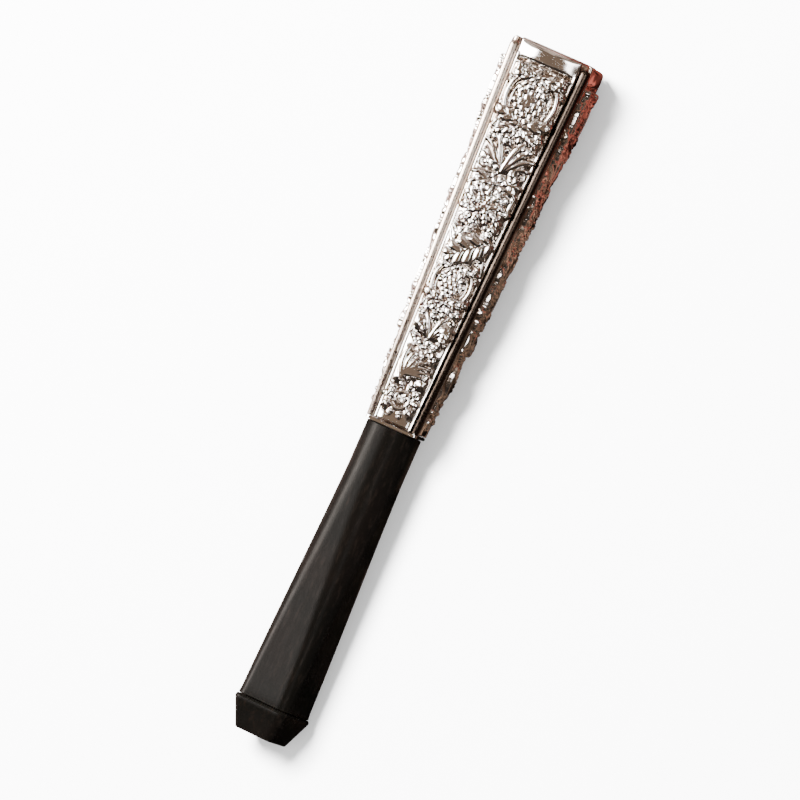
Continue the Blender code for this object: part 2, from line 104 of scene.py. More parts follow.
# The camera: its lean off vertical, its turn about its line of sight, its lens and sensor, and in metres the
# width it takes in at the wand and how far its aim lies across and along from the wand's middle
CAMERA_TILT = radians(9.5)
ROLL = radians(23.7)
LENS = 500.0
SENSOR = 36.0
FRAME_WIDTH = 0.3267
AIM_OFFSET = (-0.00286, -0.00347)

record = frame["record"]
mounts = {mount["name"]: mount for mount in record["mounts"]}
joints = {joint["name"]: joint for joint in frame["joints"]}
wand_up = Vector(joints["head_turn"]["axis"]).normalized()
wand_foot = Vector(mounts["pommel_end_face"]["pos_m"])
wand_right = Vector((0, -1, 0))
wand_back = wand_up.cross(wand_right)
LAY = Matrix.Translation(wand_foot) @ Matrix((wand_right, wand_back, wand_up)).transposed().to_4x4()
LAY = LAY @ Matrix.Scale(MM, 4)


def lerp(low, high, share):
    return low + (high - low) * share


def head_share(height):
    return (height - HEAD_BOTTOM) / (LENGTH - HEAD_BOTTOM)


def column_offset(height):
    return lerp(*COLUMN_OFFSET, head_share(height))


def column_radius(height):
    return lerp(*COLUMN_RADIUS, head_share(height))


def panel_plane(height):
    return column_offset(height) + column_radius(height) - PANEL_INSET


def panel_edge(height):
    return column_offset(height) - column_radius(height) - COLUMN_GAP


def fillet_edge(height):
    return panel_edge(height) - lerp(*FILLET_INSET, head_share(height))


def deselect():
    for thing in bpy.context.selected_objects:
        thing.select_set(False)


def activate(*things):
    deselect()
    for thing in things:
        thing.select_set(True)
    bpy.context.view_layer.objects.active = things[0]


def apply_modifiers(thing):
    activate(thing)
    for step in list(thing.modifiers):
        bpy.ops.object.modifier_apply(modifier=step.name)


def apply_placing(thing):
    activate(thing)
    bpy.ops.object.transform_apply(location=True, rotation=True, scale=True)


def smooth(thing, degrees):
    activate(thing)
    bpy.ops.object.shade_smooth_by_angle(angle=radians(degrees))


def finish_piece(thing, name, body, material, node):
    """Lays a finished piece into the frame in a CAD node's place, with its name, finish and body."""
    thing.data.transform(LAY)
    thing.name = name
    thing.data.name = name
    thing.data.materials.clear()
    thing.data.materials.append(material)
    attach(thing, body)
    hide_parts(node)


# ---------------------------------------------------------------- materials


def new_material(name):
    made = bpy.data.materials.new(name)
    made.use_nodes = True
    return made, made.node_tree.nodes, made.node_tree.links, made.node_tree.nodes["Principled BSDF"]


def add_node(nodes, kind, **values):
    made = nodes.new("ShaderNode" + kind)
    for key, value in values.items():
        made.inputs[key].default_value = value
    return made


def noise(nodes, links, place, scale, detail=4.0, roughness=0.55):
    made = add_node(nodes, "TexNoise", Scale=scale, Detail=detail, Roughness=roughness)
    links.new(place, made.inputs["Vector"])
    return made.outputs["Fac"]


def remap(nodes, links, value, low, high, to_low, to_high):
    made = nodes.new("ShaderNodeMapRange")
    for key, number in zip(("From Min", "From Max", "To Min", "To Max"), (low, high, to_low, to_high)):
        made.inputs[key].default_value = number
    links.new(value, made.inputs["Value"])
    return made.outputs["Result"]


def mix_colour(nodes, links, share, first, second):
    """Mixes two colours, each a node's output or plain numbers, by share."""
    made = nodes.new("ShaderNodeMix")
    made.data_type = "RGBA"
    links.new(share, made.inputs["Factor"])
    for socket, value in (("A", first), ("B", second)):
        target = [s for s in made.inputs if s.name == socket and s.type == "RGBA"][0]
        if isinstance(value, tuple):
            target.default_value = (*value, 1.0)
        else:
            links.new(value, target)
    return [s for s in made.outputs if s.type == "RGBA"][0]


def bump(nodes, links, height, strength, distance, below=None):
    made = add_node(nodes, "Bump", Strength=strength, Distance=distance)
    links.new(height, made.inputs["Height"])
    if below:
        links.new(below, made.inputs["Normal"])
    return made.outputs["Normal"]


def chrome_material(name, shade_colour=None, rough=(0.06, 0.17), bright=(0.88, 0.855, 0.835)):
    """Plating over a casting: ripples, fine pits, hazy patches and, given a shade colour, painted shade where the
    mesh stores it.
    """
    made, nodes, links, shader = new_material(name)
    place = nodes.new("ShaderNodeTexCoord").outputs["Object"]
    haze = noise(nodes, links, place, 90.0, 5.0, 0.6)
    wipe = noise(nodes, links, place, 900.0, 3.0)
    dull = tuple(0.8 * part for part in bright)
    colour = mix_colour(nodes, links, remap(nodes, links, haze, 0.42, 0.75, 0.0, 1.0), bright, dull)
    # Painted shade: the plating darkens towards the given colour where the mesh's stored shade share is high.
    if shade_colour:
        painted_shade = nodes.new("ShaderNodeAttribute")
        painted_shade.attribute_name = "painted_shade"
        depth = remap(nodes, links, painted_shade.outputs["Fac"], 0.1, 0.8, 0.0, 1.0)
        colour = mix_colour(nodes, links, depth, colour, shade_colour)
    links.new(colour, shader.inputs["Base Color"])
    shader.inputs["Metallic"].default_value = 1.0
    links.new(remap(nodes, links, wipe, 0.3, 0.75, *rough), shader.inputs["Roughness"])
    ripple = noise(nodes, links, place, 160.0, 2.0)
    pits = noise(nodes, links, place, 2600.0, 2.0)
    waves = bump(nodes, links, ripple, 0.14, 0.0004)
    links.new(bump(nodes, links, pits, 0.08, 0.00012, waves), shader.inputs["Normal"])
    return made


def lacquer_material():
    """Satin black lacquer over turned wood, rubbed a little brown and dull where the hand holds it."""
    made, nodes, links, shader = new_material("black_lacquer")
    coords = nodes.new("ShaderNodeTexCoord").outputs["Object"]
    stretch = add_node(nodes, "Mapping", Scale=(1.0, 14.0, 14.0))
    links.new(coords, stretch.inputs["Vector"])
    grain = noise(nodes, links, stretch.outputs["Vector"], 60.0, 6.0, 0.65)
    rub = noise(nodes, links, coords, 34.0, 4.0)
    speck = noise(nodes, links, coords, 1500.0, 2.0)
    black, brown, scuffed = (0.0009, 0.0008, 0.00065), (0.0014, 0.001, 0.0008), (0.0036, 0.0025, 0.0019)
    colour = mix_colour(nodes, links, remap(nodes, links, rub, 0.4, 0.7, 0.0, 1.0), black, brown)
    slant = add_node(nodes, "Mapping", Rotation=(0.0, 0.0, 0.6), Scale=(1.0, 5.0, 5.0))
    links.new(coords, slant.inputs["Vector"])
    scuff = noise(nodes, links, slant.outputs["Vector"], 140.0, 8.0, 0.75)
    colour = mix_colour(nodes, links, remap(nodes, links, scuff, 0.52, 0.72, 0.0, 1.0), colour, scuffed)
    links.new(colour, shader.inputs["Base Color"])
    rough = remap(nodes, links, scuff, 0.35, 0.65, 0.38, 0.27)
    fine = remap(nodes, links, grain, 0.3, 0.7, -0.04, 0.05)
    total = nodes.new("ShaderNodeMath")
    links.new(rough, total.inputs[0])
    links.new(fine, total.inputs[1])
    links.new(total.outputs["Value"], shader.inputs["Roughness"])
    shader.inputs["Specular IOR Level"].default_value = 0.027
    along = bump(nodes, links, grain, 0.1, 0.0002)
    links.new(bump(nodes, links, speck, 0.05, 0.00008, along), shader.inputs["Normal"])
    return made


def plain_material(name, first, second, metallic, roughness, scale, bump_size):
    """A finish for the small hidden pieces: two tones in a fine pattern, with roughness and bump from it."""
    made, nodes, links, shader = new_material(name)
    pattern = noise(nodes, links, nodes.new("ShaderNodeTexCoord").outputs["Object"], scale, 5.0, 0.6)
    share = remap(nodes, links, pattern, 0.35, 0.65, 0, 1)
    links.new(mix_colour(nodes, links, share, first, second), shader.inputs["Base Color"])
    shader.inputs["Metallic"].default_value = metallic
    links.new(remap(nodes, links, pattern, 0.3, 0.7, *roughness), shader.inputs["Roughness"])
    links.new(bump(nodes, links, pattern, 0.3, bump_size), shader.inputs["Normal"])
    return made


# The small pieces' finishes: two tones, metallic, roughness from and to, pattern scale, bump depth
FINISHES = {
    "zinc_plate": ((0.5, 0.51, 0.53), (0.66, 0.67, 0.68), 1.0, (0.25, 0.42), 700.0, 0.00005),
    "turned_brass": ((0.70, 0.50, 0.22), (0.80, 0.61, 0.33), 1.0, (0.2, 0.35), 500.0, 0.00005),
    "red_fibre": ((0.26, 0.035, 0.02), (0.36, 0.07, 0.045), 0.0, (0.65, 0.85), 900.0, 0.0001),
    "black_rubber": ((0.012, 0.012, 0.012), (0.028, 0.027, 0.026), 0.0, (0.6, 0.8), 800.0, 0.0001),
    "cup_black": ((0.012, 0.011, 0.011), (0.03, 0.028, 0.026), 0.0, (0.55, 0.8), 400.0, 0.0001),
    "black_felt": ((0.012, 0.012, 0.012), (0.05, 0.05, 0.05), 0.0, (0.9, 1.0), 2500.0, 0.0004),
}


# ---------------------------------------------------------------- ornament patterns


def make_berry():
    deselect()
    bpy.ops.mesh.primitive_uv_sphere_add(segments=20, ring_count=12, radius=1.0)
    return bpy.context.object


def make_leaf(name, lobes, width):
    """A veined leaf from (0, 0) to (0, 1): a grid drawn out to a lobed outline and ribbed along its veins."""
    deselect()
    bpy.ops.mesh.primitive_grid_add(x_subdivisions=12, y_subdivisions=30, size=2.0)
    leaf = bpy.context.object
    leaf.name = name
    for vertex in leaf.data.vertices:
        across = vertex.co.x
        along = 0.5 * (vertex.co.y + 1)
        outline = sin(pi * along ** 0.75) ** 0.7 * width + 0.005
        outline *= 1 + 0.15 * cos(tau * lobes * along)
        swell = 1 - across * across
        rib = max(0.0, 1 - abs(across) / 0.2)
        veins = 0.075 * cos(tau * (lobes * along - 0.55 * abs(across)))
        vertex.co.x = across * outline
        vertex.co.y = along + 0.12 * abs(across) * sin(pi * along)
        ridge = 0.15 + veins * (1 - rib)
        vertex.co.z = swell ** 0.6 * ridge * sin(pi * along) ** 0.4 - 0.06 * rib * (1 - along)
    return leaf


def make_stroke(name, points, widths, flat):
    """A tapering rod along a smooth curve in the panel's plane, flattened: a stem, blade or scroll."""
    deselect()
    bpy.ops.curve.primitive_nurbs_path_add()
    stroke = bpy.context.object
    stroke.name = name
    shape = stroke.data
    shape.splines.clear()
    spline = shape.splines.new("NURBS")
    spline.points.add(len(points) - 1)
    for point, place, width in zip(spline.points, points, widths):
        point.co = (place[0], place[1], 0.0, 1.0)
        point.radius = width
    spline.use_endpoint_u = True
    spline.order_u = 4
    spline.resolution_u = 6
    shape.dimensions = "3D"
    shape.bevel_depth = 1.0
    shape.bevel_resolution = 3
    shape.use_fill_caps = True
    activate(stroke)
    bpy.ops.object.convert(target="MESH")
    stroke.scale = (1, 1, flat)
    apply_placing(stroke)
    return stroke


def spiral_points(radii, start, end, count):
    """Points round the origin from start to end degrees while the radius runs between its two values."""
    points = []
    for index in range(count):
        share = index / (count - 1)
        angle = radians(lerp(start, end, share))
        reach = lerp(*radii, share)
        points.append((reach * cos(angle), reach * sin(angle)))
    return points


def field_half(height):
    return panel_edge(height) - FIELD_MARGIN


def ground(x, y):
    """Height of the cast ground: a cushion across the panel that swells under each bunch."""
    half = field_half(y)
    share = min(abs(x) / half, 1.0)
    rise = 0.3 + 0.75 * (1 - share ** 4)
    for centre in BUNCHES:
        unit = field_half(centre)
        off = (x * x + (y - centre - 0.35 * unit) ** 2) / (0.6 * unit) ** 2
        rise += 1.25 * exp(-off)
    for height, push, reach in LUMPS:
        off = ((abs(x) - 0.72 * half) ** 2 + (y - height) ** 2) / reach ** 2
        rise += push * exp(-off)
    return rise


class Die:
    """Collects placed copies of the ornament patterns, in millimetres on a panel laid flat."""

    def __init__(self, seed):
        self.pieces = []
        self.random = Random(seed)
        self.centre = 0.0
        self.unit = 1.0

    def stamp(self, pattern, x, y, size, turn=0.0, lift=0.0, thick=1.0, flip=1):
        """Places a pattern; x, y and size are in the motif's own unit and lift is in twelfths of it."""
        unit = self.unit
        copy = pattern.copy()
        copy.data = pattern.data
        bpy.context.scene.collection.objects.link(copy)
        turned = Matrix.Rotation(radians(turn), 4, "Z")
        sized = Matrix.Diagonal((size * flip * unit, size * unit, size * thick * unit, 1.0))
        place_y = self.centre + y * unit
        height = ground(x * unit, place_y) + lift * unit / 12
        copy.matrix_world = Matrix.Translation((x * unit, place_y, height)) @ turned @ sized
        self.pieces.append(copy)

    def pair(self, pattern, x, y, size, turn=0.0, lift=0.0, thick=1.0):
        """The same pattern on both sides of the panel's middle line."""
        self.stamp(pattern, x, y, size, turn, lift, thick, 1)
        self.stamp(pattern, -x, y, size, -turn, lift, thick, -1)

    def add(self, thing):
        self.pieces.append(thing)

    def cast(self):
        """Joins everything into one mesh."""
        for piece in self.pieces:
            piece.data = piece.data.copy()
        bpy.context.view_layer.update()
        activate(*self.pieces)
        bpy.ops.object.join()
        joined = bpy.context.object
        apply_placing(joined)
        return joined


def make_patterns():
    """The ornament's few patterns, each about one unit long."""
    blade_line = [(0, 0), (0.03, 0.3), (0.08, 0.6), (0.2, 0.86), (0.36, 0.97)]
    blade = make_stroke("blade", blade_line, (0.04, 0.08, 0.1, 0.08, 0.03), 0.8)
    frame_line = [(0.1, 1.36), (0.5, 1.4), (0.84, 1.08), (0.95, 0.5), (0.84, -0.02)]
    frame_line += [(0.56, -0.42), (0.24, -0.4), (0.16, -0.16), (0.34, -0.04), (0.42, -0.16)]
    widths = (0.03, 0.065, 0.08, 0.085, 0.085, 0.08, 0.065, 0.05, 0.04, 0.045)
    scroll = make_stroke("scroll", frame_line, widths, 0.9)
    inner = [(0.3, 1.16), (0.6, 1.0), (0.77, 0.5), (0.68, 0.02), (0.48, -0.2)]
    lining = make_stroke("lining", inner, (0.02, 0.035, 0.04, 0.035, 0.02), 0.9)
    coil_line = spiral_points((1.0, 0.12), 200, 760, 22)
    coil = make_stroke("coil", coil_line, [lerp(0.13, 0.09, index / 21) for index in range(22)], 0.8)
    return {
        "berry": make_berry(),
        "leaf": make_leaf("leaf", 3, 0.25),
        "broad_leaf": make_leaf("broad_leaf", 5, 0.31),
        "blade": blade,
        "scroll": scroll,
        "lining": lining,
        "coil": coil,
    }


def grape_bunch(die, patterns, x, y, rows):
    """Rows of berries, proudest in the middle of the bunch."""
    pitch = 0.25
    for row, count in enumerate(rows):
        for column in range(count):
            off = column - (count - 1) / 2
            wobble = die.random.uniform(-0.025, 0.025)
            bulge = 1 - (off / 3.2) ** 2 - ((row - (len(rows) - 1) / 2) / len(rows) * 1.6) ** 2
            size = 0.14 * die.random.uniform(0.9, 1.1)
            place = (x + off * pitch + wobble, y - row * 0.205)
            die.stamp(patterns["berry"], *place, size, lift=-0.2 + 0.9 * max(bulge, 0.0))


def filler(die, patterns, top):
    """Low leaves that leave no bare ground between the main shapes."""
    for row in range(7):
        y = top - row * 0.6
        for column in range(4):
            x = -0.84 + column * 0.56 + die.random.uniform(-0.1, 0.1)
            size = die.random.uniform(0.75, 0.95)
            turn = die.random.choice((20, 50, 130, 160)) * (1 if x > 0 else -1) + die.random.uniform(-15, 15)
            die.stamp(patterns["leaf"], x * 0.9, y, size, turn, -0.5, 0.8)


def framed_bunch(die, patterns, rows):
    """A bunch of grapes in a frame of two scrolls, with leaves above, below and around it."""
    leaf = patterns["leaf"]
    die.pair(patterns["scroll"], 0, 0, 1.0, 0, 0.5, 1.0)
    die.pair(patterns["lining"], 0, 0, 1.0, 0, 0.1, 1.0)
    grape_bunch(die, patterns, 0, 0.95, rows)
    for x, y, size, turn, lift in (
        (0.02, 1.36, 1.0, -96, 0.7), (0.05, 1.24, 0.8, -138, 0.9), (0.72, 1.2, 0.5, -20, 0.4),
        (0.9, 0.7, 0.5, -12, 0.4), (0.94, 0.15, 0.55, -172, 0.4), (0.66, -0.4, 0.6, -150, 0.5),
        (0.03, -0.42, 1.1, -76, 0.9), (0.03, -0.5, 0.95, -120, 0.9), (0.02, -0.52, 0.7, -158, 0.8),
    ):
        die.pair(leaf, x, y, size, turn, lift, 1.3)
    die.stamp(patterns["berry"], 0, -0.46, 0.13, lift=1.2)
    die.stamp(patterns["berry"], 0, 1.36, 0.11, lift=1.0)


def palmette(die, patterns, flip):
    """A fan of long blades from one root, with a small scroll on each side of it."""
    for index in range(-4, 5):
        reach = (1.5 - 0.055 * index * index) * die.random.uniform(0.95, 1.05)
        tilt = -14 * index + 5 * flip
        side = 1 if index >= 0 else -1
        die.stamp(patterns["blade"], 0.02 * index, -2.3, reach, tilt, 0.6 - 0.1 * abs(index), 1.4, side)
    die.pair(patterns["coil"], 0.74, -2.12, 0.22, 0, 0.5, 1.3)
    for x, y in ((0.78, -1.0), (0.86, -1.17), (0.68, -1.17)):
        die.pair(patterns["berry"], x, y, 0.1, lift=0.4)


def rosette(die, patterns):
    """A full round flower: rings of petals that climb towards a knot of berries."""
    rings = ((11, 0.42, 0.68, 0.0, 0), (9, 0.22, 0.56, 0.7, 12), (5, 0.06, 0.44, 1.3, 5))
    for count, reach, size, lift, start in rings:
        for index in range(count):
            angle = start + 360 * index / count
            x = reach * cos(radians(angle))
            y = 0.15 + 1.1 * reach * sin(radians(angle))
            die.stamp(patterns["leaf"], x, y, size * die.random.uniform(0.92, 1.08), angle - 90, lift, 1.5)
    for x, y in ((0, 0.15), (0.1, 0.05), (-0.1, 0.07), (0.02, 0.29)):
        die.stamp(patterns["berry"], x, y, 0.1, lift=1.9)
    for turn in (-60, -88, -112):
        die.pair(patterns["blade"], 0.1, 1.1, 1.0, turn, 0.5, 1.4)
    die.pair(patterns["scroll"], 0, 0.1, 1.04, 0, -0.2, 0.8)
    die.pair(patterns["coil"], 0.72, -0.62, 0.22, 0, 0.4, 1.3)


def crossing_leaf(die, patterns, flip):
    """A big ribbed leaf that crosses the panel, with sprays of blades over and under it."""
    for index in range(5):
        turn = flip * (112 + 12 * index)
        die.stamp(patterns["blade"], flip * 0.98, -0.72 - 0.12 * index, 1.05, turn, 0.3, 1.4, flip)
    for index in range(5):
        turn = flip * (-4 - 17 * index)
        die.stamp(patterns["blade"], flip * -0.94, -2.6, 1.1 - 0.05 * index, turn, 0.2, 1.3, flip)
    die.stamp(patterns["broad_leaf"], flip * -0.86, -1.15, 2.15, flip * -127, 0.9, 0.85, flip)
    die.stamp(patterns["scroll"], flip * -0.3, -1.9, 0.62, flip * 60, 0.3, 1.2, flip)


def scroll_spray(die, patterns, flip):
    """A leaning spray of blades over one large scroll, with berries and leaves in the corners."""
    for x, y in ((-0.62, 1.75), (-0.42, 1.85), (-0.52, 1.62), (-0.74, 1.9), (-0.3, 1.68)):
        die.stamp(patterns["berry"], flip * x, y, 0.14, lift=0.8)
    for index in range(7):
        reach = 1.75 - 0.08 * index
        turn = flip * (24 - 15 * index)
        die.stamp(patterns["blade"], flip * -0.5, -0.5 + 0.05 * index, reach, turn, 0.6, 1.5, flip)
    die.stamp(patterns["broad_leaf"], flip * -0.75, 0.2, 1.5, flip * -40, 0.4, 1.0, flip)
    die.stamp(patterns["coil"], flip * -0.1, -1.45, 0.62, 20, 0.8, 0.8, flip)
    for angle in range(0, 360, 36):
        x = flip * -0.1 + 0.55 * cos(radians(angle))
        y = -1.45 + 0.55 * sin(radians(angle))
        die.stamp(patterns["leaf"], x, y, 0.55, angle - 90, 0.2, 1.3)
    die.stamp(patterns["leaf"], flip * -0.8, -0.9, 0.8, flip * 200, 0.6, 1.2, flip)


def tapered_bar(low, high, half_low, half_high, under, top):
    """A block on the flat panel whose half width runs from half_low to half_high."""
    deselect()
    bpy.ops.mesh.primitive_cube_add(size=2.0)
    bar = bpy.context.object
    for vertex in bar.data.vertices:
        far = vertex.co.y > 0
        vertex.co.x *= half_high if far else half_low
        vertex.co.y = high if far else low
        vertex.co.z = top if vertex.co.z > 0 else under
    return bar


def cushion_ground():
    """The field's swelling ground."""
    deselect()
    bpy.ops.mesh.primitive_grid_add(x_subdivisions=24, y_subdivisions=160, size=2.0)
    cushion = bpy.context.object
    for vertex in cushion.data.vertices:
        height = lerp(HEAD_BOTTOM + 0.5, FIELD_TOP, 0.5 * (vertex.co.y + 1))
        x = vertex.co.x * field_half(height)
        vertex.co = (x, height, ground(x, height))
    return cushion


def crown_band():
    """The plain polished band across the top, swelling like a cushion."""
    deselect()
    bpy.ops.mesh.primitive_grid_add(x_subdivisions=64, y_subdivisions=28, size=2.0)
    band = bpy.context.object
    for vertex in band.data.vertices:
        across, along = vertex.co.x, vertex.co.y
        height = lerp(PANEL_TOP - BAND_HEIGHT, PANEL_TOP, 0.5 * (along + 1))
        rounded = (1 - abs(along) ** 4.5) ** 0.5
        rise = -0.5 + (BAND_RISE + 0.5) * (1 - 0.86 * across * across) * rounded
        vertex.co = (across * (panel_edge(height) + 0.2), height, rise)
    return band


def panel_ground(die):
    """The cast panel without its ornament: sunk edges, two fillets, the cushion and the plain band."""
    low, high = HEAD_BOTTOM, PANEL_TOP
    die.add(tapered_bar(low - 1, high + 1, panel_edge(low) + 1, panel_edge(high) + 1, -3.0, -1.0))
    edge_low, edge_high = fillet_edge(low), fillet_edge(high)
    die.add(tapered_bar(low, high - 1.0, edge_low - 0.1, edge_high - 0.1, -2.0, -0.1))
    for side in (-1, 1):
        heights = [lerp(low, high - 6, step / 3) for step in range(4)]
        path = [(side * (panel_edge(height) - 0.4), height) for height in heights]
        fillet = make_stroke("fillet", path, (0.5, 0.54, 0.6, 0.64), 1.0)
        fillet.location.z = 0.15
        die.add(fillet)
    die.add(cushion_ground())
    die.add(crown_band())
    arch_low = high - BAND_HEIGHT - 0.5
    half = fillet_edge(arch_low) - 0.4
    rises = ((-1, -0.9), (-0.6, 0.0), (0, 0.25), (0.6, 0.0), (1, -0.9))
    line = [(half * across, arch_low + rise) for across, rise in rises]
    arch = make_stroke("arch", line, (0.5, 0.55, 0.5, 0.55, 0.5), 1.0)
    arch.location.z = 1.1
    die.add(arch)


def emboss(target, columns, rows):
    """A fine grid that follows the panel's taper, dropped onto the die's patterns, softened and capped."""
    deselect()
    bpy.ops.mesh.primitive_grid_add(x_subdivisions=columns, y_subdivisions=rows, size=2.0)
    skin = bpy.context.object
    for vertex in skin.data.vertices:
        height = lerp(HEAD_BOTTOM, PANEL_TOP, 0.5 * (vertex.co.y + 1))
        vertex.co = (vertex.co.x * (panel_edge(height) + 0.25), height, 9.0)
    wrap = skin.modifiers.new("drop", "SHRINKWRAP")
    wrap.wrap_method = "PROJECT"
    wrap.use_project_z = True
    wrap.use_positive_direction = False
    wrap.use_negative_direction = True
    wrap.target = target
    soften = skin.modifiers.new("soften", "SMOOTH")
    soften.factor = 0.5
    soften.iterations = 6
    apply_modifiers(skin)
    for vertex in skin.data.vertices:
        over = vertex.co.z - RELIEF_PEAK
        if over > 0:
            vertex.co.z = RELIEF_PEAK + 1 - exp(-over)
    return skin


def mark_hollow_shade(skin, columns, rows):
    """Stores how far each point lies below its surroundings' mean, for the painted shade in the hollows."""
    reach = 9
    places = np.empty(len(skin.data.vertices) * 3, np.float32)
    skin.data.vertices.foreach_get("co", places)
    heights = places.reshape(rows + 1, columns + 1, 3)[:, :, 2]
    around = heights.copy()
    for axis in (0, 1):
        total = np.zeros_like(around)
        for shift in range(-reach, reach + 1):
            total += np.roll(around, shift, axis)
        around = total / (2 * reach + 1)
    painted_shade = np.clip((around - heights) / 0.9 + 0.08, 0.0, 1.0)
    stored = skin.data.attributes.new("painted_shade", "FLOAT", "POINT")
    stored.data.foreach_set("value", painted_shade.ravel())


def close_back(skin, depth):
    """Draws the skin's rim down to the panel's flat back and closes it."""
    activate(skin)
    bpy.ops.object.mode_set(mode="EDIT")
    bpy.ops.mesh.select_mode(type="EDGE")
    bpy.ops.mesh.select_all(action="DESELECT")
    bpy.ops.mesh.select_non_manifold()
    bpy.ops.mesh.extrude_edges_move(TRANSFORM_OT_translate={"value": (0, 0, -1)})
    bpy.ops.object.mode_set(mode="OBJECT")
    for vertex in skin.data.vertices:
        if vertex.select:
            vertex.co.z = depth
    bpy.ops.object.mode_set(mode="EDIT")
    bpy.ops.mesh.edge_face_add()
    bpy.ops.mesh.select_all(action="SELECT")
    bpy.ops.mesh.normals_make_consistent(inside=False)
    bpy.ops.object.mode_set(mode="OBJECT")


def stand_up(mesh, turn):
    """Raises a flat panel to its leaning place on the head's front, then turns it to its own side."""
    low_plane, high_plane = panel_plane(HEAD_BOTTOM), panel_plane(PANEL_TOP)
    lean = (high_plane - low_plane) / (PANEL_TOP - HEAD_BOTTOM)
    foot = lean * HEAD_BOTTOM - low_plane
    raised = Matrix(((1, 0, 0, 0), (0, -lean, -1, foot), (0, 1, 0, 0), (0, 0, 0, 1)))
    mesh.transform(Matrix.Rotation(turn, 4, "Z") @ raised)


def make_panels(chrome):
    """One die is cut, and the four panels are struck from it."""
    patterns = make_patterns()
    die = Die(5)
    panel_ground(die)
    bunches = {0: (2, 3, 4, 5, 4, 3, 2), 2: (3, 4, 5, 4, 3, 2)}
    for index, centre in enumerate(BUNCHES):
        die.centre = centre
        die.unit = field_half(centre)
        flip = 1 if index % 2 else -1
        filler(die, patterns, 0.9 if index == 0 else 2.1)
        if index in bunches:
            framed_bunch(die, patterns, bunches[index])
            palmette(die, patterns, flip)
        elif index == 1:
            rosette(die, patterns)
            crossing_leaf(die, patterns, -flip)
        else:
            scroll_spray(die, patterns, flip)
    cast = die.cast()
    skin = emboss(cast, *RELIEF_GRID)
    mark_hollow_shade(skin, *RELIEF_GRID)
    close_back(skin, PANEL_BACK)
    smooth(skin, 180)
    bpy.data.objects.remove(cast)
    for pattern in patterns.values():
        bpy.data.objects.remove(pattern)
    for index, side in enumerate(SIDES):
        panel = skin.copy()
        panel.data = skin.data.copy()
        bpy.context.scene.collection.objects.link(panel)
        stand_up(panel.data, index * pi / 2)
        finish_piece(panel, f"embossed_panel_{side}", "head", chrome, f"head_panel_{side}")
    bpy.data.objects.remove(skin)


# ---------------------------------------------------------------- round and square bodies


def add_cylinder(sides, radius, low, high):
    deselect()
    middle = (0, 0, 0.5 * (low + high))
    bpy.ops.mesh.primitive_cylinder_add(vertices=sides, radius=radius, depth=high - low, location=middle)
    return bpy.context.object


def ringed_cylinder(heights, sides):
    """A cylinder with an edge ring at each height, to be drawn in or out to its real shape."""
    body = add_cylinder(sides, 10.0, heights[0], heights[-1])
    apply_placing(body)
    bpy.ops.object.mode_set(mode="EDIT")
    for height in heights[1:-1]:
        bpy.ops.mesh.select_all(action="SELECT")
        bpy.ops.mesh.bisect(plane_co=(0, 0, height), plane_no=(0, 0, 1))
    bpy.ops.object.mode_set(mode="OBJECT")
    return body


def rounded_square_reach(angle, half, corner):
    """Distance from the axis to a round-cornered square's outline in a direction."""
    larger, smaller = sorted((abs(cos(angle)), abs(sin(angle))), reverse=True)
    flat = half - corner
    if half * smaller / larger <= flat:
        return half / larger
    middle = flat * (larger + smaller)
    return middle + (middle * middle - 2 * flat * flat + corner * corner) ** 0.5


def shape_rings(body, outline, twist=0.0):
    """Moves each point in or out to outline(height), which gives a half width and a corner radius."""
    for vertex in body.data.vertices:
        angle = Vector(vertex.co.xy).angle_signed(Vector((1, 0)))
        half, corner = outline(vertex.co.z)
        reach = rounded_square_reach(angle - twist, half, corner)
        vertex.co.x = reach * cos(angle)
        vertex.co.y = reach * sin(angle)


def mark_painted_dark_side(column, corner):
    """Stores where a dark reflection is painted on a column: the side of it that looks along its next panel."""
    darkened_below, fade = 24, 14
    values = []
    for vertex in column.data.vertices:
        across = vertex.co.xy
        angle = across.angle_signed(corner) if across.length > 0.01 else 0.0
        values.append(min(max((darkened_below - angle * 180 / pi) / fade, 0.0), 1.0))
    stored = column.data.attributes.new("painted_shade", "FLOAT", "POINT")
    stored.data.foreach_set("value", values)


def make_columns(chrome):
    """Round corner columns, domed at the top."""
    dome = column_radius(COLUMN_TOP)
    steps = 8
    for number, corner in enumerate(((-1, -1), (1, -1), (1, 1), (-1, 1)), start=1):
        low = Vector((*corner, 0)) * column_offset(HEAD_BOTTOM) + Vector((0, 0, HEAD_BOTTOM))
        high = Vector((*corner, 0)) * column_offset(COLUMN_TOP) + Vector((0, 0, COLUMN_TOP))
        length = (high - low).length
        rise = [length - dome + dome * sin(step * pi / 2 / steps) for step in range(steps)]
        heights = [0.0, 0.3, length * 0.5] + rise + [length - 0.005]
        column = ringed_cylinder(heights, 40)
        for vertex in column.data.vertices:
            z = vertex.co.z
            radius = lerp(*COLUMN_RADIUS, min(z / length, 1.0))
            if z > length - dome:
                radius = (max(dome * dome - (z - length + dome) ** 2, 0.0)) ** 0.5
            if z < 0.1:
                radius -= 0.15
            vertex.co.xy = vertex.co.xy.normalized() * radius
        # Painted dark reflection on the side that looks along the next panel.
        mark_painted_dark_side(column, Vector(corner))
        lean = (high - low).to_track_quat("Z", "Y").to_matrix().to_4x4()
        column.data.transform(Matrix.Translation(low) @ lean)
        smooth(column, 50)
        finish_piece(column, f"round_column_{number}", "head", chrome, f"corner_column_{number}")


